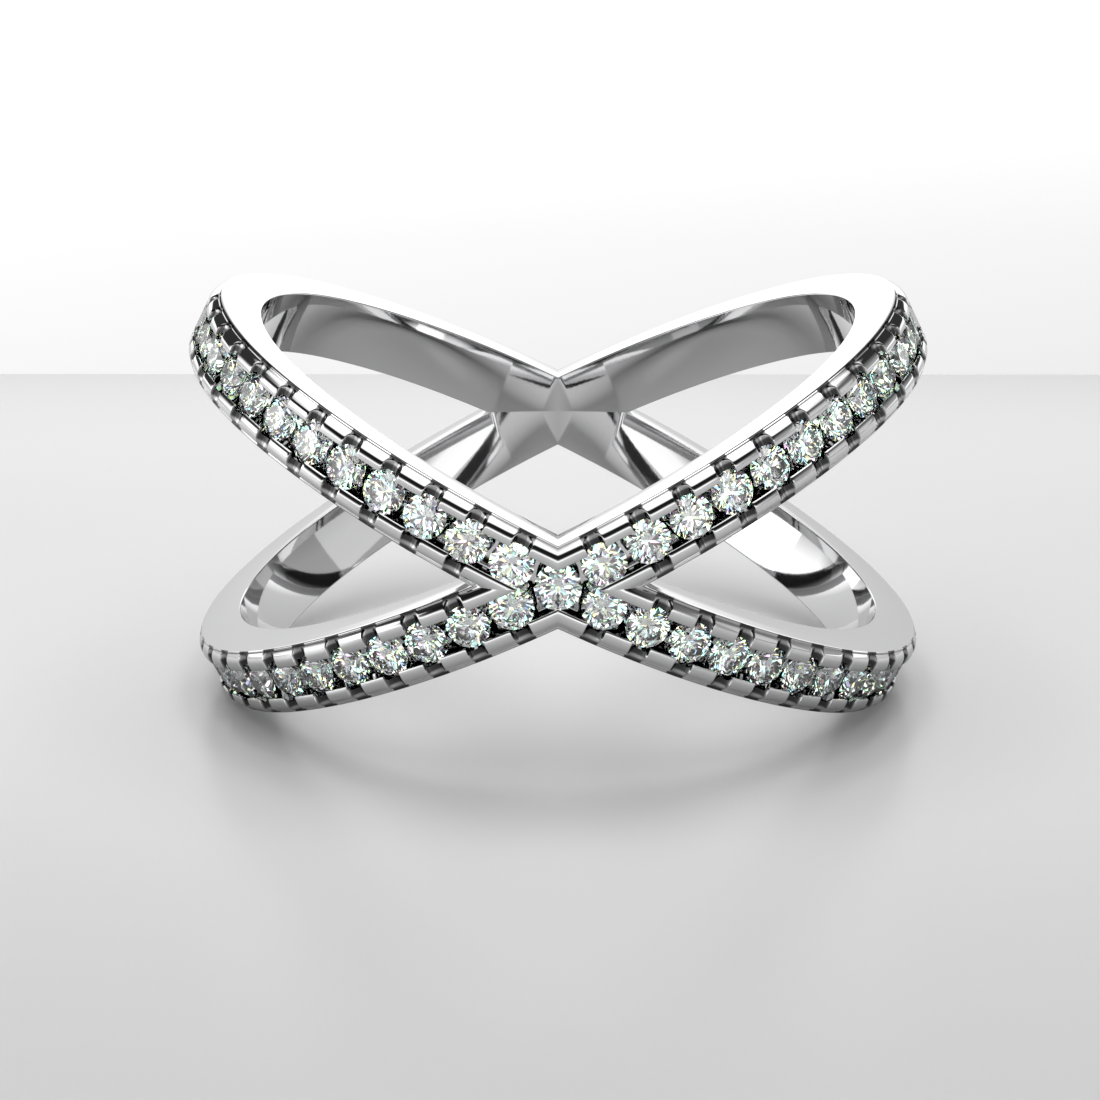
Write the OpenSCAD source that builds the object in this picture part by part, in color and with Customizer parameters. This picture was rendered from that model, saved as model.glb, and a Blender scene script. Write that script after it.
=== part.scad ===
// Crossover ring: two narrow loops that cross in an X at the front and at the back.
// Each loop lies in a plane tilted about the front-to-back axis, and is a slab of even width between two
// ovals, so that it looks round from above. Z is the finger's axis, -Y is the front.

/* [Finger hole] */
// Diameter of the finger hole, seen along the finger
inner_d = 17.3; // [15:0.1:21]

/* [Loops] */
// Tilt of each loop from lying flat, in degrees
tilt = 26.4; // [22:0.2:30]
// Width of a loop between its flat side faces
loop_w = 1.94; // [1.8:0.02:2.4]
// Thickness from the bore to the outer edge of a side face
side_t = 1.09; // [1:0.01:1.3]
// Width of the bevel from a side face to the ledge, across the loop
bevel_w = 0.03; // [0.02:0.01:0.1]
// Height of that bevel
bevel_h = 0.03; // [0.02:0.01:0.1]
// Width of the ledge between the bevel and the rounded rail
ledge_w = 0.03; // [0.02:0.01:0.1]
// Height of the rounded rail's crown above the outer edge of a side face
rail_h = 0.21; // [0.15:0.01:0.3]
// Chamfer where the bore meets a side face
bore_chamfer = 0.05; // [0.02:0.01:0.1]

/* [Stones] */
// Number of stones in each of the four arms
stones_per_arm = 12; // [6:1:12]
// Girdle diameter of a stone in an arm
stone_d = 1.12; // [0.9:0.01:1.2]
// Girdle diameter of the stone at the crossing
centre_stone_d = 1.2; // [1:0.01:1.3]
// Least gap between the girdles of neighbouring stones in an arm
stone_gap = 0.13; // [0.1:0.01:0.2]
// Least gap between the stones of different arms, and between them and the centre stone
arm_gap = 0.04; // [0.03:0.01:0.2]
// Table width as a share of the girdle diameter
table_share = 0.58; // [0.53:0.01:0.64]
// Crown height as a share of the girdle diameter
crown_share = 0.15; // [0.12:0.01:0.17]
// Girdle thickness as a share of the girdle diameter
girdle_share = 0.035; // [0.02:0.005:0.05]
// Pavilion depth as a share of the girdle diameter
pavilion_share = 0.43; // [0.41:0.005:0.45]
// How far the tables lie below the rails' crown
table_drop = 0.1; // [0:0.01:0.15]

/* [Setting] */
// How far each rail reaches in over the edge of the stones
grip = 0.11; // [0.06:0.01:0.16]
// Depth of the channel below the rails' crown
channel_depth = 0.45; // [0.35:0.01:0.6]
// Length of the rail that is left between two notches
bar_l = 0.76; // [0.65:0.01:0.85]
// Depth of the notch below the rails' crown, which leaves the side face's edge whole
notch_depth = 0.2; // [0.16:0.01:0.2]
// Gap all round a stone in its seat
seat_gap = 0.03; // [0.02:0.005:0.04]

/* [Hidden] */
$fn = 96;

metal = [0.86, 0.86, 0.87];
stone_white = [0.93, 0.95, 0.98];

// radii of the finger hole and of the rails' crown, seen from above
bore_r = inner_d / 2;
top_r = bore_r + side_t + rail_h;

// a loop is an oval of four arcs of 90 degrees that looks like a circle from above, so it is this much longer
stretch = 1 / cos(tilt);

// side of a box that holds a quarter of the ring
reach = 3 * top_r;
// how far a cutter runs past the surface that it opens
over = 1;

// centre and radius of the front arc and of the side arc of the oval that belongs to a circle of radius r: both
// centres lie equally far from the middle
function shift(r) = round(1000 * r * (stretch - 1) / (2 - sqrt(2))) / 1000;
function front_radius(r) = r + shift(r);
function side_radius(r) = front_radius(r) - sqrt(2) * shift(r);
function front_centre(r) = [0, shift(r), 0];
function side_centre(r) = [shift(r), 0, 0];

// the place and turn of a point at a length u along the crown of a loop from the front, as [x, y, degrees]
front_length = front_radius(top_r) * PI / 4;
function turn_at(u) = u <= front_length
    ? u / front_radius(top_r) * 180 / PI
    : 45 + (u - front_length) / side_radius(top_r) * 180 / PI;
function place_at(u) = let (q = turn_at(u), front = u <= front_length,
                            c = front ? front_centre(top_r) : side_centre(top_r),
                            r = front ? front_radius(top_r) : side_radius(top_r))
    [c[0] + r * sin(q), c[1] - r * cos(q), q];

// depth of the arm stones' girdle below the crown, and where the stones stand along it: the first one clears
// both the centre stone and the first stone of the other loop, and the rest follow at an even pitch
girdle_drop = table_drop + crown_share * stone_d;
girdle_arc = front_radius(top_r) - girdle_drop;
first_x = max((stone_d + arm_gap) / 2 / sin(tilt), (stone_d + centre_stone_d) / 2 + arm_gap);
first_pitch = asin(first_x / girdle_arc) * PI / 180 * front_radius(top_r);
stone_pitch = (stone_d + stone_gap) * side_radius(top_r) / (side_radius(top_r) - girdle_drop);
function stone_at(i) = i == 0 ? 0 : first_pitch + (i - 1) * stone_pitch;
channel_w = stone_d - 2 * grip;
notch_w = stone_pitch - bar_l;

// half of a loop's cross-section, as [distance below the crown, distance from the middle plane]: from the side
// face over the bevel and the ledge and round the rail to its crown, and on down the lip into the channel
rail_outer = loop_w / 2 - bevel_w - ledge_w;
rail_inner = channel_w / 2;
rail_w = rail_outer - rail_inner;
rail_crown = rail_inner + 0.3 * rail_w;
rail_r = 0.73 * rail_w;
ledge_drop = rail_h - bevel_h;
core = 2 * (top_r - bore_r);
plain_half = [
    [core, loop_w / 2],
    [rail_h, loop_w / 2],
    [ledge_drop, loop_w / 2 - bevel_w],
    [ledge_drop, rail_outer],
    for (q = [60 : -20 : 0]) [rail_r * (1 - cos(q)), rail_crown + rail_r * sin(q)]
];
lip = [
    [0.2 * rail_w, rail_inner],
    [channel_depth, rail_inner]
];
channel_half = concat(plain_half, lip);
channel = concat([[-over, rail_crown], [0, rail_crown]], lip);
end_turn = turn_at(stone_at(stones_per_arm) + stone_pitch / 2);

// sweeps a symmetric cross-section along an arc from one turn to another, given half of it inwards from r
module sweep(r, from, to, half) {
    rotate([0, 0, from - 90]) rotate_extrude(angle = to - from)
        polygon(concat(
            [for (p = half) [r - p[0], p[1]]],
            [for (i = [len(half) - 1 : -1 : 0]) [r - half[i][0], -half[i][1]]]));
}

// half of a loop before its bore is cut, with x >= 0: the channel runs from the front to half a pitch past
// the last stone, and the rest is plain
module solid_half() {
    translate(front_centre(top_r)) sweep(front_radius(top_r), -45, 45, channel_half);
    translate(side_centre(top_r)) difference() {
        sweep(side_radius(top_r), 45, 135, plain_half);
        sweep(side_radius(top_r), 45, end_turn, channel);
    }
    mirror([0, 1, 0]) translate(front_centre(top_r)) sweep(front_radius(top_r), -45, 45, plain_half);
}

// the cutter for a loop's bore, flared at both side faces
module bore_sector(r, from, to) {
    h = loop_w / 2;
    rotate([0, 0, from - 90]) rotate_extrude(angle = to - from)
        polygon([[0, h + over], [r + bore_chamfer + over, h + over], [r, h - bore_chamfer],
                 [r, bore_chamfer - h], [r + bore_chamfer + over, -h - over], [0, -h - over]]);
}

module bore() {
    for (side = [0, 1]) mirror([side, 0, 0]) translate(side_centre(bore_r))
        bore_sector(side_radius(bore_r), 45, 135);
    for (back = [0, 1]) mirror([0, back, 0]) translate(front_centre(bore_r))
        bore_sector(front_radius(bore_r), -45, 45);
}

// puts its children on the crown at a length u from the front, with +Z outwards
module on_crown(u) {
    p = place_at(u);
    translate([p[0], p[1], 0]) rotate([90, 0, p[2]]) children();
}

// puts its children on the tilted loop that rises to the right
module tilted() {
    rotate([0, -tilt, 0]) children();
}

// a round-bottomed notch across the rails, from one place across the loop to another
module notch(from, to) {
    r = (pow(notch_w / 2, 2) + pow(notch_depth, 2)) / (2 * notch_depth);
    translate([0, from, r - notch_depth]) rotate([-90, 0, 0]) cylinder(h = to - from, r = r);
}

// cut brilliant with its table at z = 0, its crown and pavilion below, and eight main facets each way
module brilliant(d) {
    r = d / 2;
    table_r = table_share * r;
    crown_z = -crown_share * d;
    girdle_z = crown_z - girdle_share * d;
    culet_z = girdle_z - pavilion_share * d;
    star_r = (table_r + r) / 2;
    star_z = crown_z * (star_r * cos(22.5) - table_r) / (r - table_r);
    half_r = 0.22 * r;
    half_z = culet_z + (girdle_z - culet_z) * half_r * cos(22.5) / r;
    function ring(n, rr, z, start) =
        [for (i = [0 : n - 1], q = start + i * 360 / n) [rr * cos(q), rr * sin(q), z]];
    pts = concat(ring(8, table_r, 0, 0), ring(8, star_r, star_z, 22.5), ring(16, r, crown_z, 0),
                 ring(16, r, girdle_z, 0), ring(8, half_r, half_z, 22.5), [[0, 0, culet_z]]);
    tb = 0; st = 8; gt = 16; gb = 32; hv = 48; cu = 56;
    faces = concat(
        [[for (i = [7 : -1 : 0]) tb + i]],
        [for (i = [0 : 7]) [tb + i, tb + (i + 1) % 8, st + i]],
        [for (i = [0 : 7]) [tb + i, st + i, gt + 2 * i, st + (i + 7) % 8]],
        [for (i = [0 : 7]) [st + i, gt + 2 * i + 1, gt + 2 * i]],
        [for (i = [0 : 7]) [st + i, gt + (2 * i + 2) % 16, gt + 2 * i + 1]],
        [for (i = [0 : 15]) [gt + i, gt + (i + 1) % 16, gb + (i + 1) % 16, gb + i]],
        [for (i = [0 : 7]) [gb + 2 * i, gb + 2 * i + 1, hv + i]],
        [for (i = [0 : 7]) [gb + 2 * i + 1, gb + (2 * i + 2) % 16, hv + i]],
        [for (i = [0 : 7]) [cu, hv + (i + 7) % 8, gb + 2 * i, hv + i]]);
    polyhedron(pts, faces);
}

// the drilled space for a stone: a cone under its pavilion and a cylinder round its girdle
module seat(d) {
    r = d / 2;
    g = seat_gap;
    girdle_z = -(crown_share + girdle_share) * d;
    culet_z = girdle_z - pavilion_share * d;
    rotate_extrude()
        polygon([[0, culet_z - 2 * g], [r + g, girdle_z - g], [r + g, over], [0, over]]);
}

// puts its children in the quarter with x >= 0 and z >= 0, and their mirror images in the other three
module in_four() {
    for (side = [0, 1], below = [0, 1]) mirror([side, 0, 0]) mirror([0, 0, below]) children();
}

// the quarter of the metal with x >= 0 and z >= 0, before the stones' notches and seats are cut
module quarter() {
    intersection() {
        tilted() difference() {
            solid_half();
            bore();
        }
        translate([0, -reach / 2, 0]) cube(reach);
    }
}

// the notches and seats of one arm: the first notch opens only the outer rail, as the inner one has run out there
module arm_cuts() {
    tilted() {
        on_crown(stone_at(1)) notch(0, loop_w / 2 + over);
        for (i = [2 : stones_per_arm]) on_crown(stone_at(i)) notch(-loop_w / 2 - ledge_w, loop_w / 2 + over);
        for (i = [1 : stones_per_arm]) on_crown(stone_at(i)) translate([0, 0, -table_drop]) seat(stone_d);
    }
}

module shank() {
    color(metal) difference() {
        in_four() quarter();
        in_four() arm_cuts();
        on_crown(0) translate([0, 0, -table_drop]) seat(centre_stone_d);
    }
}

module arm_stones() {
    for (i = [1 : stones_per_arm])
        tilted() on_crown(stone_at(i)) translate([0, 0, -table_drop]) brilliant(stone_d);
}

module centre_stone() {
    color(stone_white) on_crown(0) translate([0, 0, -table_drop]) brilliant(centre_stone_d);
}

module upper_right_stones() {
    color(stone_white) arm_stones();
}

module upper_left_stones() {
    color(stone_white) mirror([1, 0, 0]) arm_stones();
}

module lower_right_stones() {
    color(stone_white) mirror([0, 0, 1]) arm_stones();
}

module lower_left_stones() {
    color(stone_white) mirror([1, 0, 0]) mirror([0, 0, 1]) arm_stones();
}

shank();
centre_stone();
upper_right_stones();
upper_left_stones();
lower_right_stones();
lower_left_stones();
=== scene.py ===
# Crossover ring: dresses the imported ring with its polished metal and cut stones, and sets its studio.
import math
from collections import namedtuple

import bmesh
import bpy
import numpy as np
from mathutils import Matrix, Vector


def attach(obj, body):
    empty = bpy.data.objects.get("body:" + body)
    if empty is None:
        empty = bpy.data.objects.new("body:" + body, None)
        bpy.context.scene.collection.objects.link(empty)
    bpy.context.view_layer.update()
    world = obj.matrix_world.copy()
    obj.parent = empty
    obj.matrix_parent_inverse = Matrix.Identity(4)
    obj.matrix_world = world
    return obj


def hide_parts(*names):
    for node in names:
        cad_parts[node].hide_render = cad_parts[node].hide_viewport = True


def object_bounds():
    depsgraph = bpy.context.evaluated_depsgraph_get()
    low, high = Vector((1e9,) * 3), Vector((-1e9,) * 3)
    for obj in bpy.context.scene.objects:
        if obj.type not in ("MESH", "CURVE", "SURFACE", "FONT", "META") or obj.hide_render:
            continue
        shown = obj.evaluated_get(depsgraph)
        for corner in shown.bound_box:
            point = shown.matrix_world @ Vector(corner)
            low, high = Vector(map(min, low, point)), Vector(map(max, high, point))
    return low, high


bl_info = {
    "name": "Crossover Ring",
    "version": (1, 0, 0),
    "blender": (4, 5, 0),
    "location": "View3D > Sidebar > Ring",
    "description": "Polished crossover ring with a row of cut stones along each loop, in a pale studio",
    "category": "Object",
}

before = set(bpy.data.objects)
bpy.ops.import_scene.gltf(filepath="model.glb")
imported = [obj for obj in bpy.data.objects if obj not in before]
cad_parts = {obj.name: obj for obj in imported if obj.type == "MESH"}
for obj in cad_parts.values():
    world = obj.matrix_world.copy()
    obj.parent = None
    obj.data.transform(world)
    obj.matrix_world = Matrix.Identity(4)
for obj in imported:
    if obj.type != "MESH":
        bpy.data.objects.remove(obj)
CAD_BOX = [list(corner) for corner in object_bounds()]
MM = 0.001

ARMS = {
    "upper_right_stones": (1, 1),
    "upper_left_stones": (-1, 1),
    "lower_right_stones": (1, -1),
    "lower_left_stones": (-1, -1),
}


# Sizes

def length(name, description, millimetres, **more):
    """A length that the user can change, kept in metres."""
    return bpy.props.FloatProperty(name=name, description=description, default=millimetres * MM,
                                   unit="LENGTH", precision=5, min=0.0, **more)


class RingSizes(bpy.types.PropertyGroup):
    """Sizes of the two loops and their setting, as in the part's source but for a deeper channel."""
    inner_d: length("Finger hole", "Diameter of the finger hole, seen along the finger", 17.3)
    tilt: bpy.props.FloatProperty(
        name="Tilt", description="Tilt of each loop from lying flat", default=math.radians(26.4),
        unit="ROTATION")
    loop_w: length("Loop width", "Width of a loop between its flat side faces", 1.94)
    side_t: length("Side thickness", "From the bore to the outer edge of a side face", 1.09)
    bevel_w: length("Bevel width", "Width of the bevel from a side face to the ledge", 0.03)
    bevel_h: length("Bevel height", "Height of that bevel", 0.03)
    ledge_w: length("Ledge width", "Width of the ledge beside the rounded rail", 0.03)
    rail_h: length("Rail height", "Height of the rail's crown above the outer edge of a side face", 0.21)
    bore_round: length("Bore rounding", "Radius of the soft edge where the bore meets a side face", 0.035)
    grip: length("Grip", "How far each rail reaches in over the stones", 0.11)
    seat_room: length("Seat room", "Gap between a stone's girdle and the channel's wall under the rail", 0.02)
    channel_depth: length("Channel depth", "Depth of the channel below the rails' crown", 0.85)
    bar_l: length("Bar length", "Length of the rail that is left between two notches", 0.76)
    notch_depth: length("Notch depth", "Depth of the notch below the rails' crown", 0.20)
    edge_round: length("Edge rounding", "Softness of the bars' ends", 0.022)
    corner_round: length("Corner rounding", "Softness of the side faces' outer edges", 0.02)


class StoneSizes(bpy.types.PropertyGroup):
    """Sizes and places of the cut stones."""
    per_arm: bpy.props.IntProperty(name="Stones in an arm", description="Number of stones in each arm",
                                   default=12, min=1)
    pitch_d: length("Seat diameter", "Girdle diameter that the stones' pitch allows for", 1.12)
    pitch_gap: length("Seat gap", "Gap that the pitch leaves between two such girdles", 0.13)
    arm_gap: length("Arm gap", "Gap between the stones of different arms", 0.04)
    stone_d: length("Arm stones", "Girdle diameter of a stone in an arm", 1.17)
    centre_d: length("Centre stone", "Girdle diameter of the stone at the crossing", 1.22)
    table: bpy.props.FloatProperty(name="Table", description="Table width as a share of the girdle",
                                   default=0.57, subtype="FACTOR", min=0.4, max=0.8)
    crown: bpy.props.FloatProperty(name="Crown", description="Crown height as a share of the girdle",
                                   default=0.15, subtype="FACTOR", min=0.05, max=0.3)
    girdle: bpy.props.FloatProperty(name="Girdle", description="Girdle thickness as a share of its diameter",
                                    default=0.025, subtype="FACTOR", min=0.0, max=0.1)
    pavilion: bpy.props.FloatProperty(name="Pavilion", description="Pavilion depth as a share of the girdle",
                                      default=0.43, subtype="FACTOR", min=0.3, max=0.6)
    table_drop: length("Table drop", "How far the tables lie below the rails' crown", 0.10)


class Finishes(bpy.types.PropertyGroup):
    """Colours and finishes."""
    metal: bpy.props.FloatVectorProperty(name="Metal", description="Colour of the polished white gold",
                                         default=(0.70, 0.70, 0.705), subtype="COLOR", min=0.0, max=1.0)
    polish: bpy.props.FloatProperty(name="Polish", description="Roughness of the polished metal",
                                    default=0.045, subtype="FACTOR", min=0.0, max=1.0)
    stone: bpy.props.FloatVectorProperty(name="Stone", description="Body colour of the stones",
                                         default=(0.95, 0.99, 0.985), subtype="COLOR", min=0.0, max=1.0)
    floor: bpy.props.FloatVectorProperty(name="Floor", description="Colour of the studio floor",
                                         default=(0.745, 0.745, 0.745), subtype="COLOR", min=0.0, max=1.0)


# The oval that each loop follows

class Oval:
    """Four arcs that look like a circle of radius r from above, once the loop is tilted."""

    def __init__(self, sizes, r):
        stretch = 1 / math.cos(sizes.tilt)
        self.shift = round(1000 * r * (stretch - 1) / (2 - math.sqrt(2))) / 1000
        self.front_r = r + self.shift
        self.side_r = self.front_r - math.sqrt(2) * self.shift
        self.front_length = self.front_r * math.pi / 4
        self.half_length = 2 * self.front_length + self.side_r * math.pi / 2

    def at(self, u):
        """Places (x, y) and outward normals at lengths u from the front, along the half with x >= 0."""
        u = np.asarray(u, float)
        side_length = self.half_length - 2 * self.front_length
        front = u <= self.front_length
        back = u >= self.front_length + side_length
        q = np.where(front, u / self.front_r, math.pi / 4 + (u - self.front_length) / self.side_r)
        q = np.where(back, 3 * math.pi / 4 + (u - self.front_length - side_length) / self.front_r, q)
        r = np.where(front | back, self.front_r, self.side_r)
        cx = np.where(front | back, 0.0, self.shift)
        cy = np.where(front, self.shift, np.where(back, -self.shift, 0.0))
        normal = np.stack([np.sin(q), -np.cos(q)], -1)
        return np.stack([cx, cy], -1) + r[..., None] * normal, normal

    def drop_to(self, other, u):
        """How far below this oval another one lies, along the normals at lengths u."""
        point, normal = self.at(u)
        low, high = np.zeros(len(point)), np.full(len(point), self.side_r / 2)
        for _ in range(48):
            mid = (low + high) / 2
            inside = other.holds(point - mid[:, None] * normal)
            low, high = np.where(inside, low, mid), np.where(inside, mid, high)
        return (low + high) / 2

    def holds(self, points):
        """Whether each point lies inside the oval."""
        x, y = np.abs(points[:, 0]), np.abs(points[:, 1])
        in_front = np.hypot(x, y + self.shift) < self.front_r
        in_side = np.hypot(x - self.shift, y) < self.side_r
        return np.where(x < y + self.shift, in_front, in_side)


class Plan:
    """Everything that follows from the sizes, in millimetres."""

    def __init__(self, scene):
        for group in (scene.ring_sizes, scene.stone_sizes):
            for key in group.__annotations__:
                value = getattr(group, key)
                unit = group.bl_rna.properties[key].unit
                setattr(self, key, value / MM if unit == "LENGTH" else value)
        self.bore_r = self.inner_d / 2
        self.top_r = self.bore_r + self.side_t + self.rail_h
        self.crown_oval = Oval(self, self.top_r)
        self.bore_oval = Oval(self, self.bore_r)
        seat_drop = self.table_drop + self.crown * self.pitch_d
        pitch_r = self.crown_oval.front_r - seat_drop
        first_x = max((self.pitch_d + self.arm_gap) / 2 / math.sin(self.tilt),
                      self.pitch_d + 2 * self.arm_gap)
        self.first = math.asin(first_x / pitch_r) * self.crown_oval.front_r
        self.pitch = ((self.pitch_d + self.pitch_gap) * self.crown_oval.side_r
                      / (self.crown_oval.side_r - seat_drop))
        self.stones_at = self.first + self.pitch * np.arange(self.per_arm)
        self.row_end = self.stones_at[-1] + self.pitch / 2
        self.rail_out = self.loop_w / 2 - self.bevel_w - self.ledge_w
        self.rail_in = self.pitch_d / 2 - self.grip
        self.seat_half = self.stone_d / 2 + self.seat_room
        self.ledge_drop = self.rail_h - self.bevel_h
        self.notch_half = (self.pitch - self.bar_l) / 2

    def world(self, plane, across, arm=(1, 1)):
        """Places in the ring's frame, in metres, of points in the loop's own plane and across it."""
        c, s = math.cos(self.tilt), math.sin(self.tilt)
        x = plane[..., 0] * c - across * s
        z = plane[..., 0] * s + across * c
        return np.stack([arm[0] * x, plane[..., 1], arm[1] * z], -1) * MM


# Shader maths

class Value:
    """A node socket that Python's operators build Math nodes on."""

    def __init__(self, tree, socket):
        self.tree, self.socket = tree, socket

    def math(self, operation, *others):
        return Value(self.tree, self.tree.add("ShaderNodeMath", {"operation": operation},
                                              [self, *others]).outputs[0])

    def __add__(self, other):
        return self.math("ADD", other)

    def __mul__(self, other):
        return self.math("MULTIPLY", other)


class Shader:
    """The nodes of a material or of the world, with its one shader."""

    def __init__(self, name, owner=None):
        self.owner = owner or bpy.data.materials.new(name)
        self.owner.use_nodes = True
        self.nodes = self.owner.node_tree.nodes
        self.links = self.owner.node_tree.links
        self.shader = next(n for n in self.nodes if n.type in ("BSDF_PRINCIPLED", "BACKGROUND"))

    def add(self, kind, settings=None, values=()):
        """A node of that type: its settings first, then the values or links of its sockets."""
        node = self.nodes.new(kind)
        for key, value in (settings or {}).items():
            if key == "stops":
                ramp = node.color_ramp
                while len(ramp.elements) < len(value):
                    ramp.elements.new(1.0)
                for element, (position, colour) in zip(ramp.elements, value):
                    element.position, element.color = position, colour
            else:
                setattr(node, key, value)
        self.fill(node, values)
        return node

    def fill(self, node, values):
        pairs = values.items() if isinstance(values, dict) else enumerate(values)
        for key, value in pairs:
            socket = node.inputs[key]
            if isinstance(value, Value):
                value = value.socket
            if isinstance(value, bpy.types.NodeSocket):
                self.links.new(value, socket)
            else:
                socket.default_value = value

    def value(self, kind, settings=None, values=(), output=0):
        return Value(self, self.add(kind, settings, values).outputs[output])

    def place(self):
        """Object coordinates in metres."""
        return self.add("ShaderNodeTexCoord").outputs["Object"]

    def ramp(self, factor, *stops):
        """Grey levels along a factor, given as (position, level)."""
        greys = [(at, (level, level, level, 1.0)) for at, level in stops]
        return self.value("ShaderNodeValToRGB", {"stops": greys}, [factor])

    def mix(self, factor, first, second, **settings):
        """Two colours mixed by a factor."""
        return self.value("ShaderNodeMix", {"data_type": "RGBA", **settings},
                          {"Factor": factor, 6: first, 7: second}, 2)

    def ray(self, kind):
        """1 for rays of that kind and 0 for others."""
        return self.add("ShaderNodeLightPath").outputs[kind]

    def finish(self, **sockets):
        self.fill(self.shader, {key.replace("_", " "): value for key, value in sockets.items()})
        return self.owner


def tone(colour, share=1.0):
    """A colour times a share, with full alpha."""
    return (*[c * share for c in colour], 1.0)


def polished_metal(finishes):
    """White gold with a bright rhodium polish, faint buffing marks, a slightly uneven gloss and painted shade
    in its hollows.
    """
    m = Shader("Polished white gold")
    place = m.place()
    cloud = m.value("ShaderNodeTexNoise", values={"Vector": place, "Scale": 450.0, "Detail": 3.0})
    stretched = m.add("ShaderNodeMapping", values={"Vector": place, "Rotation": (0.3, 0.5, 0.2),
                                                   "Scale": (9000.0, 9000.0, 700.0)}).outputs[0]
    marks = m.value("ShaderNodeTexNoise", values={"Vector": stretched, "Scale": 1.0, "Detail": 2.0})
    bump = m.add("ShaderNodeBump", values={"Strength": 0.03, "Distance": 0.00001, "Height": marks})
    # painted shade: a share per point, from the shank's mesh, darkens the metal in the channel, on the ledges
    # and in the notches
    recess = m.add("ShaderNodeAttribute", {"attribute_name": "recess"}).outputs["Fac"]
    colour = m.mix(recess, m.mix(cloud, tone(finishes.metal, 0.975), tone(finishes.metal)),
                   tone(finishes.metal, 0.08))
    uneven = 0.05
    return m.finish(Base_Color=colour, Metallic=1.0, Roughness=cloud * uneven + (finishes.polish - uneven / 2),
                    Normal=bump.outputs[0])


def cut_stone(finishes):
    """Clear brilliant stone with painted fire: its body colour is tinted in small cells of random colour."""
    m = Shader("Cut white diamond")
    # painted fire: a tenth of a random colour per small cell, mixed into the stone's body colour
    painted_fire = m.add("ShaderNodeTexVoronoi", {"feature": "F1"}, {"Vector": m.place(), "Scale": 5200.0})
    return m.finish(Base_Color=m.mix(0.10, tone(finishes.stone), painted_fire.outputs["Color"]), Roughness=0.0,
                    Transmission_Weight=1.0, IOR=2.42)


# Meshes

# distances in metres: points closer than the first are one; the others say how near to a mirror plane a point
# counts as on it, when the quarter is cut, when it is mirrored and when its edges are marked
WELD, ON_CUT, ON_MIRROR, ON_CROSSING = 2e-7, 1e-8, 2e-8, 1e-7
# edges of the metal that turn more than this stay crisp
CREASE = math.radians(28)

# in millimetres: rows of points on a side face, below its outer edge; drops below the crown where the lip ends,
# where the stone's room starts and where the channel's wall starts
FACE_ROWS = (0.35, 0.12)
LIP_DROP, ROOM_DROP, WALL_DROP = 0.09, 0.15, 0.24
# in millimetres: how far the lip's end and the top of the channel's wall stand back, and how far above the
# floor and in from the stone's room that wall ends
LIP_BACK, WALL_BACK, WALL_FOOT = 0.005, 0.01, (0.02, 0.08)
# as shares of half the stone's room: the points across the channel's floor
FLOOR_SHARES = (0.7, 0.35, 0.0)
# in millimetres: how far the columns of points run past the mirror planes, and how far apart they are where
# there are no notches, in front and on the plain part
PAST_MIRROR, FRONT_STEP, PLAIN_STEP = 0.6, 0.12, 0.22

# how steeply the measure of a notch falls off beside it, and down to what value it still rounds the bars' ends
BANK, ROUND_FROM = 1.6, -0.3
# as shares of a notch's depth: where the rail has opened to the stone's room, and where its painted shade is
# full
OPEN_SHARE, SHADE_SHARE = 0.6, 0.25
# painted shade: how dark the metal is painted, from 0 to 1, in the channel, on the ledge and in the middle of a
# notch, how fast a notch darkens from there, and how many millimetres below a rim the painted shade reaches
CHANNEL_SHADE, LEDGE_SHADE, NOTCH_SHADE, NOTCH_SLOPE, SHADE_REACH = 0.15, 0.3, 0.2, 3.2, 0.015

# as shares of the girdle's radius: the star facets' tips lie midway between the table's corners and the first,
# and the lower halves end at the second
UPPER_SHARE, LOWER_SHARE = 0.96, 0.24
# how many points the path along an arm has
PATH_POINTS = 900


def new_object(name, verts, faces, material):
    """An object at the origin, of one material."""
    mesh = bpy.data.meshes.new(name)
    mesh.from_pydata([tuple(v) for v in verts], [], faces)
    mesh.materials.append(material)
    piece = bpy.data.objects.new(name, mesh)
    bpy.context.scene.collection.objects.link(piece)
    return piece


def steps(start, stop, most):
    """Evenly spaced values no further apart than most."""
    even = np.linspace(start, stop, max(2, int(math.ceil((stop - start) / most)) + 1))
    return np.unique(np.round(even, 6))


def rounded(before, corner, after, reach, count=4):
    """Points of a small curve that rounds a corner between two neighbours, from and to a reach from it."""
    before, corner, after = (np.array(p, float) for p in (before, corner, after))
    start = corner + (before - corner) * reach / np.linalg.norm(before - corner)
    end = corner + (after - corner) * reach / np.linalg.norm(after - corner)
    t = np.linspace(0, 1, count)[:, None]
    return ((1 - t) ** 2 * start + 2 * t * (1 - t) * corner + t ** 2 * end).tolist()


def rail_curve(plan, out_lean=math.radians(62), in_lean=math.radians(24), count=10):
    """The rounded top of a rail from its outer flank to its inner edge, as (drop, across)."""
    flank_run, edge_run = 0.012, 0.008
    r = (plan.rail_out - plan.rail_in - flank_run - edge_run) / (math.sin(out_lean) + math.sin(in_lean))
    middle = plan.rail_out - flank_run - r * math.sin(out_lean)
    lean = np.linspace(out_lean, -in_lean, count)
    return [(r * (1 - math.cos(a)), middle + r * math.sin(a)) for a in lean]


# A point of the section: how far below the crown, how far across, the same two for the plain part, and where
# it is. The drop of a point in the bore is its distance out from the bore instead.
Point = namedtuple("Point", "drop across plain_drop plain_across part")


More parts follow.
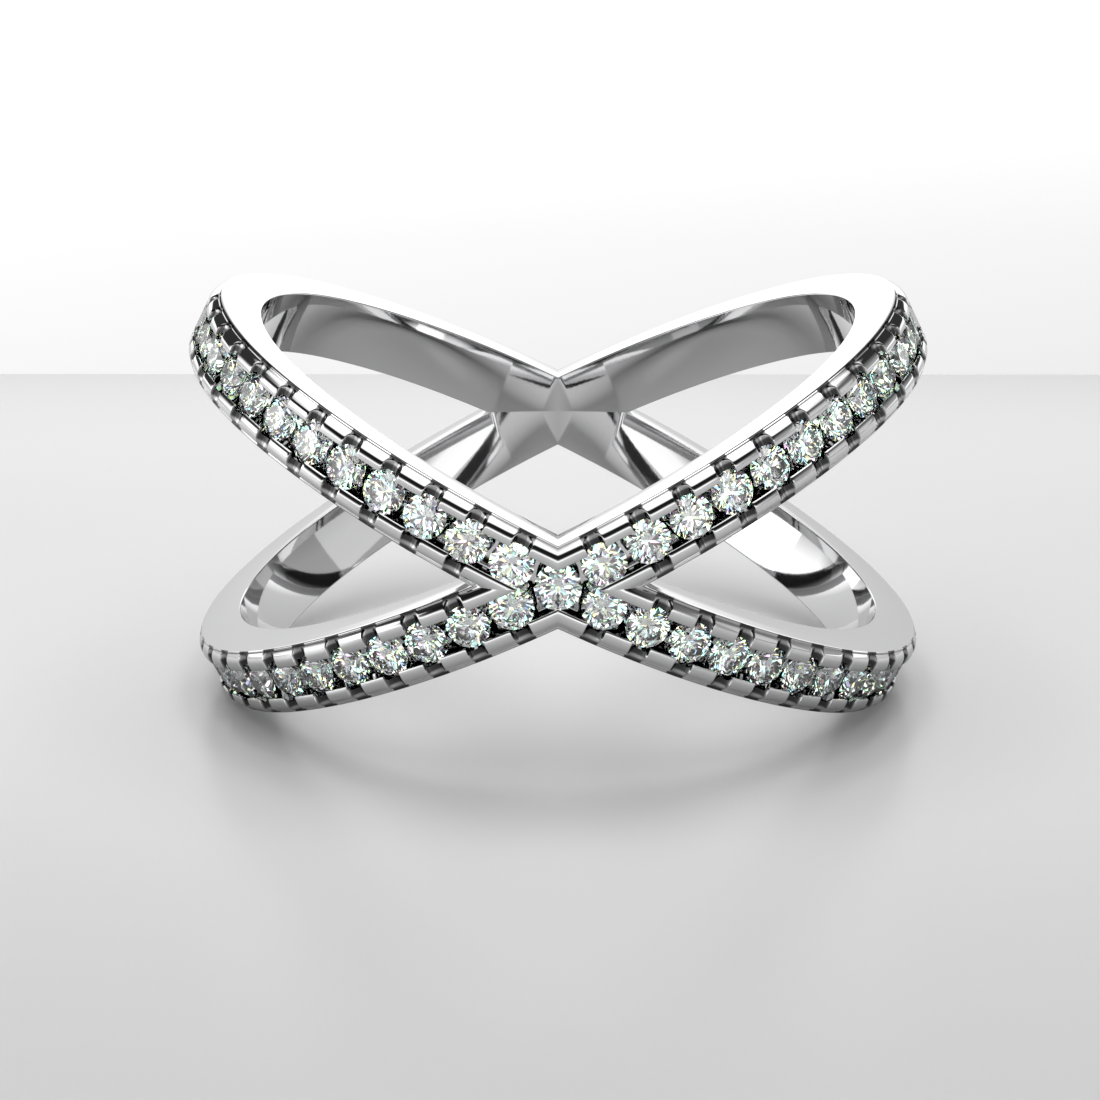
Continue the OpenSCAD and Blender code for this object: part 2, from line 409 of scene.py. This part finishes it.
def cross_section(plan):
    """Half of a loop's section, from the bore's edge out over the rail and in to the channel's middle."""
    half, soft = plan.loop_w / 2, plan.bore_round
    points = []
    for k in range(5):
        a = math.radians(90 * k / 4)
        out, across = soft * (1 - math.cos(a)), half - soft + soft * math.sin(a)
        points.append(Point(out, across, out, across, "bore"))
    side, ledge = (plan.rail_h, half), (plan.ledge_drop, half - plan.bevel_w)
    outer = [(plan.rail_h + drop, half) for drop in FACE_ROWS]
    outer += rounded((side[0] + 1, half), side, ledge, plan.corner_round)
    outer += rounded(side, ledge, (plan.ledge_drop, 0.0), 0.6 * plan.corner_round, 3)
    outer.append((plan.ledge_drop, plan.rail_out))
    points += [Point(drop, across, drop, across, "side") for drop, across in outer]
    rail = rail_curve(plan)
    top = max(range(len(rail)), key=lambda k: -rail[k][0])
    points += [Point(drop, across, drop, across, "rail") for drop, across in rail[:top]]
    edge = 0.006
    lip = rail[top:] + rounded(rail[-1], (rail[-1][0] + edge, plan.rail_in), (1.0, plan.rail_in), edge, 3)
    lip += [(LIP_DROP, plan.rail_in + LIP_BACK), (ROOM_DROP, plan.seat_half)]
    floor = [(WALL_DROP, plan.seat_half + WALL_BACK),
             (plan.channel_depth - WALL_FOOT[0], plan.seat_half - WALL_FOOT[1])]
    floor += [(plan.channel_depth, plan.seat_half * share) for share in FLOOR_SHARES]
    inner = [(*p, "rail") for p in lip] + [(*p, "channel") for p in floor]
    for k, (drop, across, part) in enumerate(inner):
        points.append(Point(drop, across, 0.0, rail[top][1] * (1 - k / (len(inner) - 1)), part))
    return points


def shank_columns(plan):
    """Lengths along the crown, close together at the notches' walls and wider on the plain part."""
    parts = [steps(-PAST_MIRROR, plan.first - plan.notch_half, FRONT_STEP)]
    near = plan.notch_half * np.array([0, 0.3, 0.55, 0.74, 0.87, 0.95, 1.0])
    beyond = plan.notch_half + np.array([0.015, 0.035, 0.07, 0.2])
    for at in plan.stones_at:
        parts.append(at + np.concatenate([-beyond, -near, near, beyond]))
    parts.append(np.array([plan.row_end - 0.004, plan.row_end + 0.004]))
    parts.append(steps(plan.row_end + 0.15, plan.crown_oval.half_length + PAST_MIRROR, PLAIN_STEP))
    columns = np.unique(np.round(np.concatenate(parts), 5))
    return columns[np.insert(np.diff(columns) > 0.003, 0, True)]


def notch_fall(plan, u, outer):
    """How far the notches open the rails at lengths u, below zero where they don't."""
    r = (plan.notch_half ** 2 + plan.notch_depth ** 2) / (2 * plan.notch_depth)
    fall = np.full(len(u), -1.0)
    for k, at in enumerate(plan.stones_at):
        if k == 0 and not outer:
            continue
        off = np.abs(u - at)
        arch = np.sqrt(np.maximum(r ** 2 - off ** 2, 0)) - (r - plan.notch_depth)
        fall = np.maximum(fall, np.where(off < plan.notch_half, arch, -BANK * (off - plan.notch_half)))
    return fall


def painted_shade_share(plan, p, notch):
    """How dark the painted shade makes the metal at a point of the section, along the loop: darkest near both
    ends of a notch.
    """
    if p.part == "channel":
        return np.full(len(notch), CHANNEL_SHADE)
    if p.part == "bore" or p.drop > plan.rail_h + SHADE_REACH:
        return np.zeros(len(notch))
    from_middle = abs(p.across - (plan.seat_half + 2 * plan.rail_out) / 3) / (plan.rail_out - plan.seat_half)
    in_notch = min(NOTCH_SHADE + NOTCH_SLOPE * from_middle, 1.0)
    in_notch = in_notch * np.clip(notch / (SHADE_SHARE * plan.notch_depth), 0, 1)
    on_ledge = p.part == "side" and p.drop < plan.ledge_drop + SHADE_REACH
    return np.maximum(in_notch, LEDGE_SHADE) if on_ledge else in_notch


def quarter_of_shank(plan):
    """The metal with x >= 0 and z >= 0 as a bmesh, in metres, open where it meets the other quarters."""
    points = cross_section(plan)
    full = [(p, 1) for p in points] + [(p, -1) for p in points[-2::-1]]
    u = shank_columns(plan)
    place, normal = plan.crown_oval.at(u)
    to_bore = plan.crown_oval.drop_to(plan.bore_oval, u)
    set_part = u < plan.row_end
    notches = {side: notch_fall(plan, u, side > 0) for side in (1, -1)}
    bm = bmesh.new()
    # painted shade: a share per point of how far the metal's colour is darkened in hollows
    recess = bm.verts.layers.float.new("recess")
    verts = []
    for p, side in full:
        notch = np.where(set_part, notches[side], -1.0)
        down = np.where(set_part, p.drop, p.plain_drop)
        over = np.where(set_part, p.across, p.plain_across)
        if p.part == "bore":
            down = to_bore - p.drop
        elif p.drop < plan.rail_h:
            # a soft maximum rounds the bars' ends
            blend = np.sqrt((down - notch) ** 2 + plan.edge_round ** 2)
            down = np.where(notch > ROUND_FROM, (down + notch + blend) / 2, down)
        if p.part == "rail":
            opened = np.clip(notch / (OPEN_SHARE * plan.notch_depth), 0, 1)
            over = over + np.maximum(plan.seat_half - over, 0) * opened
        row = [bm.verts.new(v) for v in plan.world(place - down[:, None] * normal, side * over)]
        shade = np.where(set_part, painted_shade_share(plan, p, notch), 0.0)
        for vert, share in zip(row, shade):
            vert[recess] = share
        verts.append(row)
    for k, row in enumerate(verts):
        following = verts[(k + 1) % len(verts)]
        for j in range(len(u) - 1):
            bm.faces.new((row[j], row[j + 1], following[j + 1], following[j]))
    return bm


def build_shank(plan, material):
    """Cuts the quarter at the two mirror planes and joins it to its three mirror images."""
    bm = quarter_of_shank(plan)
    bmesh.ops.remove_doubles(bm, verts=bm.verts, dist=WELD)
    bmesh.ops.dissolve_degenerate(bm, edges=bm.edges, dist=WELD)
    for axis in ((-1, 0, 0), (0, 0, -1)):
        bmesh.ops.bisect_plane(bm, geom=bm.verts[:] + bm.edges[:] + bm.faces[:], dist=ON_CUT,
                               plane_co=(0, 0, 0), plane_no=axis, clear_outer=True)
    bmesh.ops.triangulate(bm, faces=[f for f in bm.faces if len(f.verts) > 4])
    bm.verts.index_update()
    # the painted shade of each point, carried over to the four mirrored quarters
    layer = bm.verts.layers.float["recess"]
    recess = [v[layer] for v in bm.verts]
    co = np.array([v.co for v in bm.verts])
    co[np.abs(co) < ON_MIRROR] = 0.0
    faces = [[v.index for v in f.verts] for f in bm.faces]
    bm.free()
    verts, all_faces = [], []
    for sx in (1, -1):
        for sz in (1, -1):
            start = len(verts) * len(co)
            verts.append(co * np.array([sx, 1, sz]))
            turned = sx * sz < 0
            all_faces += [[start + i for i in (reversed(f) if turned else f)] for f in faces]
    piece = new_object("shank_metal", np.concatenate(verts), all_faces, material)
    piece.data.attributes.new("recess", "FLOAT", "POINT").data.foreach_set("value", recess * 4)
    bm = bmesh.new()
    bm.from_mesh(piece.data)
    bmesh.ops.remove_doubles(bm, verts=bm.verts, dist=WELD)
    bmesh.ops.recalc_face_normals(bm, faces=bm.faces)
    open_edges = [e for e in bm.edges if not e.is_manifold]
    if bm.calc_volume(signed=True) < 0:
        bmesh.ops.reverse_faces(bm, faces=bm.faces)
    bm.to_mesh(piece.data)
    bm.free()
    print("shank_metal:", len(piece.data.polygons), "faces,", len(open_edges), "open edges")
    piece.data.shade_smooth()
    piece.data.set_sharp_from_angle(angle=CREASE)
    keep_crossings_sharp(piece.data)
    return piece


def keep_crossings_sharp(mesh):
    """Marks the edges where the two loops run into each other as sharp: they lie in the two mirror planes."""
    co = np.empty(len(mesh.vertices) * 3)
    mesh.vertices.foreach_get("co", co)
    ends = np.empty(len(mesh.edges) * 2, int)
    mesh.edges.foreach_get("vertices", ends)
    flat = np.abs(co.reshape(-1, 3)[ends.reshape(-1, 2)]).max(axis=1) < ON_CROSSING
    sharp = np.empty(len(mesh.edges), bool)
    mesh.edges.foreach_get("use_edge_sharp", sharp)
    mesh.edges.foreach_set("use_edge_sharp", sharp | flat[:, 0] | flat[:, 2])


def brilliant(plan, name, material):
    """A round brilliant of unit girdle diameter with its table at z = 0: 57 facets and a faceted girdle."""
    r, table = 0.5, plan.table / 2
    crown_z, girdle_z = -plan.crown, -plan.crown - plan.girdle
    culet_z = girdle_z - plan.pavilion
    star = (table + r * UPPER_SHARE) / 2
    star_z = crown_z * (star * math.cos(math.pi / 8) - table) / (r - table)
    low = LOWER_SHARE * r
    low_z = culet_z + (girdle_z - culet_z) * low * math.cos(math.pi / 8) / r

    def ring(n, rr, z, turn=0.0):
        return [(rr * math.cos(turn + 2 * math.pi * k / n), rr * math.sin(turn + 2 * math.pi * k / n), z)
                for k in range(n)]

    eighth = math.pi / 8
    verts = (ring(8, table, 0) + ring(8, star, star_z, eighth) + ring(16, r, crown_z)
             + ring(16, r, girdle_z) + ring(8, low, low_z, eighth) + [(0, 0, culet_z)])
    faces = [list(range(8))]
    for k in range(8):
        n, p = (k + 1) % 8, (k + 7) % 8
        g = 16 + 2 * k
        faces += [[k, 8 + k, n], [k, 8 + p, g, 8 + k], [8 + k, g, g + 1],
                  [8 + k, g + 1, 16 + (2 * k + 2) % 16],
                  [32 + 2 * k, 48 + k, 33 + 2 * k], [33 + 2 * k, 48 + k, 32 + (2 * k + 2) % 16],
                  [56, 48 + k, 32 + 2 * k, 48 + p]]
    faces += [[16 + k, 32 + k, 32 + (k + 1) % 16, 16 + (k + 1) % 16] for k in range(16)]
    piece = new_object(name, verts, faces, material)
    bm = bmesh.new()
    bm.from_mesh(piece.data)
    bmesh.ops.recalc_face_normals(bm, faces=bm.faces)
    bm.to_mesh(piece.data)
    bm.free()
    return piece


def stone_row_tree():
    """Geometry nodes that set stones along a path: the first one at a length from its start and the rest at an
    even pitch, each standing square to the path with its table outwards."""
    tree = bpy.data.node_groups.new("Stones along an arm", "GeometryNodeTree")
    inputs = {"Path": "Geometry", "Stone": "Object", "Count": "Int", "First": "Float", "Pitch": "Float",
              "Table Drop": "Float", "Diameter": "Float", "Loop Axis": "Vector", "Material": "Material"}
    for name, kind in inputs.items():
        tree.interface.new_socket(name=name, in_out="INPUT", socket_type="NodeSocket" + kind)
    tree.interface.new_socket(name="Stones", in_out="OUTPUT", socket_type="NodeSocketGeometry")

    def node(kind, settings=None, values=()):
        n = tree.nodes.new(kind)
        for key, value in (settings or {}).items():
            setattr(n, key, value)
        for key, value in (values.items() if isinstance(values, dict) else enumerate(values)):
            if isinstance(value, bpy.types.NodeSocket):
                tree.links.new(value, n.inputs[key])
            else:
                n.inputs[key].default_value = value
        return n

    given = node("NodeGroupInput").outputs
    curve = node("GeometryNodeMeshToCurve", values={0: given["Path"]}).outputs[0]
    index = node("GeometryNodeInputIndex").outputs[0]
    along = node("ShaderNodeMath", {"operation": "MULTIPLY_ADD"},
                 [index, given["Pitch"], given["First"]]).outputs[0]
    sample = node("GeometryNodeSampleCurve", {"mode": "LENGTH", "use_all_curves": False},
                  {"Curves": curve, "Length": along})
    out = node("ShaderNodeVectorMath", {"operation": "CROSS_PRODUCT"},
               [sample.outputs["Tangent"], given["Loop Axis"]]).outputs[0]
    sunk = node("ShaderNodeVectorMath", {"operation": "SCALE"},
                {0: out, "Scale": given["Table Drop"]}).outputs[0]
    place = node("ShaderNodeVectorMath", {"operation": "SUBTRACT"},
                 [sample.outputs["Position"], sunk]).outputs[0]
    turn = node("FunctionNodeAxesToRotation", {"primary_axis": "Z", "secondary_axis": "X"},
                [out, sample.outputs["Tangent"]]).outputs[0]
    points = node("GeometryNodePoints", values={"Count": given["Count"], "Position": place}).outputs[0]
    stone = node("GeometryNodeObjectInfo", {"transform_space": "ORIGINAL"}, {"Object": given["Stone"]})
    size = node("ShaderNodeCombineXYZ", values=[given["Diameter"]] * 3).outputs[0]
    placed = node("GeometryNodeInstanceOnPoints", values={
        "Points": points, "Instance": stone.outputs["Geometry"], "Rotation": turn, "Scale": size}).outputs[0]
    real = node("GeometryNodeRealizeInstances", values={0: placed}).outputs[0]
    dressed = node("GeometryNodeSetMaterial",
                   values={"Geometry": real, "Material": given["Material"]}).outputs[0]
    node("NodeGroupOutput", values={0: dressed})
    return tree


def build_row(plan, tree, template, material, node_name, arm):
    """One arm's stones as a plain mesh, which stands for the CAD node of that name."""
    reach = plan.stones_at[-1] + plan.pitch
    point, _ = plan.crown_oval.at(np.linspace(0, reach, PATH_POINTS))
    path = plan.world(point, 0.0, arm)
    mesh = bpy.data.meshes.new("path")
    mesh.from_pydata([tuple(p) for p in path], [(k, k + 1) for k in range(len(path) - 1)], [])
    carrier = bpy.data.objects.new("path", mesh)
    bpy.context.scene.collection.objects.link(carrier)
    modifier = carrier.modifiers.new("Stones", "NODES")
    modifier.node_group = tree
    c, s = math.cos(plan.tilt), math.sin(plan.tilt)
    axis = Vector((-s * arm[0], 0, c * arm[1])) * (arm[0] * arm[1])
    settings = {"Stone": template, "Count": plan.per_arm, "First": plan.first * MM, "Pitch": plan.pitch * MM,
                "Table Drop": plan.table_drop * MM, "Diameter": plan.stone_d * MM, "Loop Axis": tuple(axis),
                "Material": material}
    for item in tree.interface.items_tree:
        if item.item_type == "SOCKET" and item.in_out == "INPUT" and item.name in settings:
            modifier[item.identifier] = settings[item.name]
    graph = bpy.context.evaluated_depsgraph_get()
    result = bpy.data.meshes.new_from_object(carrier.evaluated_get(graph))
    carrier.modifiers.remove(modifier)
    bpy.data.objects.remove(carrier)
    name = node_name + "_cut"
    result.name = name
    piece = bpy.data.objects.new(name, result)
    bpy.context.scene.collection.objects.link(piece)
    return piece


# The studio

# in metres: half the width of the floor and the backdrop, and where the backdrop stands and how high it reaches
STUDIO_SIDE, WALL_Y, WALL_TOP = 0.5, 0.038, 0.0165
FLOOR_Z = CAD_BOX[0][2]

# each light's place, width and depth in metres, and its level
LIGHTS = {
    "overhead_softbox": ((0.0, 0.005, 0.075), 0.06, 0.04, 2.2),
    "left_softbox": ((-0.11, -0.02, 0.03), 0.05, 0.05, 1.2),
    "right_softbox": ((0.11, -0.02, 0.03), 0.05, 0.05, 0.35),
}

# the world's levels by height, and then what takes over towards one side: the axis, the slope and the start of
# the share that it has along that axis, and its own levels by height
WORLD_LEVELS = ((0.0, 1.5), (0.14, 1.4), (0.24, 0.20), (0.34, 0.015), (0.68, 0.015), (0.74, 1.2), (0.80, 1.6))
WORLD_SIDES = (
    ("Y", 2.5, 0.5, ((0.0, 0.10), (0.30, 0.04), (0.80, 0.04), (0.88, 1.4))),
    ("X", 5.0, -3.25, ((0.0, 0.50), (0.25, 0.45), (0.45, 0.25), (0.84, 0.25), (0.92, 1.4))),
    ("X", -10.0, -8.2, ((0.0, 1.6), (0.25, 1.5), (0.42, 0.45), (0.60, 0.12), (0.84, 0.12), (0.92, 1.4))),
)


def studio_floor(finishes):
    """A pale floor, which the metal mirrors with painted shade close by and painted light further out."""
    m = Shader("Pale studio floor")
    grain = m.value("ShaderNodeTexNoise", values={"Vector": m.place(), "Scale": 25.0})
    plain = m.mix(grain, tone(finishes.floor, 0.985), tone(finishes.floor))
    # painted reflection: for glossy rays the floor's colour is darkened close to the ring and brightened
    # further out
    away = m.value("ShaderNodeVectorMath", {"operation": "LENGTH"}, [m.place()], "Value") * 20
    mirrored = m.mix(m.ramp(away, (0.24, 0.0), (0.40, 0.5), (0.90, 1.0)),
                     tone(finishes.floor, 0.56), tone(finishes.floor, 1.27))
    m.finish(Base_Color=m.mix(m.ray("Is Glossy Ray"), plain, mirrored), Roughness=0.31)
    side = STUDIO_SIDE
    new_object("studio_floor", [(-side, -side, FLOOR_Z), (side, -side, FLOOR_Z),
                                         (side, WALL_Y, FLOOR_Z), (-side, WALL_Y, FLOOR_Z)],
                        [(0, 1, 2, 3)], m.owner)


def studio_backdrop():
    """A glowing backdrop behind the ring, seen and mirrored at levels of its own."""
    m = Shader("Bright backdrop")
    place = m.add("ShaderNodeSeparateXYZ", values=[m.place()]).outputs
    height, across = Value(m, place["Z"]) * 40 + 0.23, Value(m, place["X"])
    seen = m.ramp(height, (0.0, 0.91), (0.23, 0.98), (0.39, 1.07), (0.51, 1.3), (0.60, 1.55), (0.80, 1.55),
                  (0.88, 0.2)) * (across * -2.0 + 0.97)
    mirrored = m.ramp(height, (0.0, 0.75), (0.23, 0.85), (0.39, 0.92), (0.51, 1.5), (0.60, 1.8), (0.80, 1.8),
                      (0.88, 0.1))
    mirrored = mirrored * m.ramp(across * 20 + 0.5, (0.0, 0.92), (0.30, 0.95), (0.50, 1.0), (0.80, 0.84))
    m.finish(Base_Color=(0.0, 0.0, 0.0, 1.0), Emission_Color=m.mix(m.ray("Is Glossy Ray"), seen, mirrored),
             Emission_Strength=1.0, Roughness=1.0)
    side = STUDIO_SIDE
    new_object("studio_backdrop", [(-side, WALL_Y, FLOOR_Z), (side, WALL_Y, FLOOR_Z),
                                            (side, WALL_Y, WALL_TOP), (-side, WALL_Y, WALL_TOP)],
                        [(0, 1, 2, 3)], m.owner)


def studio_world(scene):
    """Light from all round, with a pattern of bright and dark cells for the rays inside the stones."""
    scene.world = bpy.data.worlds.new("Studio")
    m = Shader("Studio", scene.world)
    way = m.add("ShaderNodeSeparateXYZ", values=[m.add("ShaderNodeTexCoord").outputs["Generated"]]).outputs
    soft = m.ramp(way["Z"], *WORLD_LEVELS)
    for axis, turn, start, levels in WORLD_SIDES:
        share = m.value("ShaderNodeMath", {"operation": "MULTIPLY_ADD", "use_clamp": True},
                        [way[axis], turn, start])
        soft = m.mix(share, soft, m.ramp(way["Z"], *levels))
    cells = m.add("ShaderNodeTexVoronoi", {"feature": "F1"}, {
        "Vector": m.add("ShaderNodeTexCoord").outputs["Generated"], "Scale": 6.5}).outputs["Color"]
    green = m.add("ShaderNodeSeparateColor", values=[cells]).outputs[1]
    lit = m.ramp(green, (0.0, 0.08), (0.35, 0.40), (0.39, 2.7), (1.0, 4.4))
    flashes = m.mix(0.65, lit, cells, blend_type="MULTIPLY")
    m.finish(Color=m.mix(m.ray("Is Transmission Ray"), soft, flashes), Strength=1.0)


def studio_lights(scene):
    """Soft lights above and at both sides, turned to the ring."""
    for name, (where, width, depth, level) in LIGHTS.items():
        light = bpy.data.lights.new(name, "AREA")
        light.shape, light.size, light.size_y = "RECTANGLE", width, depth
        light.energy = level * math.pi * width * depth
        lamp = bpy.data.objects.new(name, light)
        lamp.location = where
        lamp.rotation_euler = (-Vector(where)).to_track_quat("-Z", "Y").to_euler()
        scene.collection.objects.link(lamp)


def studio_camera(scene):
    """The camera of the photograph, as it was fitted to the stones and the metal's edges."""
    camera = bpy.data.cameras.new("Photograph")
    camera.sensor_fit, camera.sensor_width, camera.lens = "HORIZONTAL", 36.0, 92.88
    camera.clip_start, camera.clip_end = 0.001, 10.0
    seen = bpy.data.objects.new("Photograph", camera)
    seen.location = (-0.00003, -0.07768, 0.02147)
    seen.rotation_euler = (math.radians(73.2343), 0.0, math.radians(0.1431))
    scene.collection.objects.link(seen)
    scene.camera = seen


# Operators

class RING_OT_shank(bpy.types.Operator):
    """Build the polished metal of both loops, with its rails, notches and channel"""
    bl_idname = "ring.shank"
    bl_label = "Shank"

    def execute(self, context):
        plan = Plan(context.scene)
        piece = build_shank(plan, polished_metal(context.scene.ring_finishes))
        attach(piece, "root")
        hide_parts("shank")
        return {"FINISHED"}


class RING_OT_stones(bpy.types.Operator):
    """Set the cut stones along the four arms and at the crossing"""
    bl_idname = "ring.stones"
    bl_label = "Stones"

    def execute(self, context):
        plan = Plan(context.scene)
        material = cut_stone(context.scene.ring_finishes)
        template = brilliant(plan, "brilliant", material)
        tree = stone_row_tree()
        for name, arm in ARMS.items():
            piece = build_row(plan, tree, template, material, name, arm)
            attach(piece, "root")
            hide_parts(name)
        bpy.data.objects.remove(template)
        centre = brilliant(plan, "centre_stone_cut", material)
        for v in centre.data.vertices:
            x, y, z = [plan.centre_d * MM * c for c in v.co]
            v.co = (x, -(plan.top_r - plan.table_drop) * MM - z, y)
        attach(centre, "root")
        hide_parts("centre_stone")
        return {"FINISHED"}


class RING_OT_studio(bpy.types.Operator):
    """Set the pale floor, the backdrop, the world, the soft lights and the camera"""
    bl_idname = "ring.studio"
    bl_label = "Studio"

    def execute(self, context):
        scene = context.scene
        scene.view_settings.view_transform = "Standard"
        studio_floor(scene.ring_finishes)
        studio_backdrop()
        studio_world(scene)
        studio_lights(scene)
        studio_camera(scene)
        return {"FINISHED"}


class RING_PT_panel(bpy.types.Panel):
    """Lists the ring's sizes, finishes and operators"""
    bl_label = "Crossover Ring"
    bl_idname = "RING_PT_panel"
    bl_space_type = "VIEW_3D"
    bl_region_type = "UI"
    bl_category = "Ring"

    def draw(self, context):
        layout = self.layout
        for group in (context.scene.ring_sizes, context.scene.stone_sizes, context.scene.ring_finishes):
            box = layout.box()
            for key in group.__annotations__:
                box.prop(group, key)
        for operator in (RING_OT_shank, RING_OT_stones, RING_OT_studio):
            layout.operator(operator.bl_idname)


CLASSES = (RingSizes, StoneSizes, Finishes, RING_OT_shank, RING_OT_stones, RING_OT_studio, RING_PT_panel)


def register():
    for c in CLASSES:
        bpy.utils.register_class(c)
    bpy.types.Scene.ring_sizes = bpy.props.PointerProperty(type=RingSizes)
    bpy.types.Scene.stone_sizes = bpy.props.PointerProperty(type=StoneSizes)
    bpy.types.Scene.ring_finishes = bpy.props.PointerProperty(type=Finishes)


def unregister():
    del bpy.types.Scene.ring_sizes, bpy.types.Scene.stone_sizes, bpy.types.Scene.ring_finishes
    for c in reversed(CLASSES):
        bpy.utils.unregister_class(c)


def main():
    register()
    bpy.ops.ring.shank()
    bpy.ops.ring.stones()
    bpy.ops.ring.studio()
    bpy.context.view_layer.update()


if __name__ == "__main__":
    main()
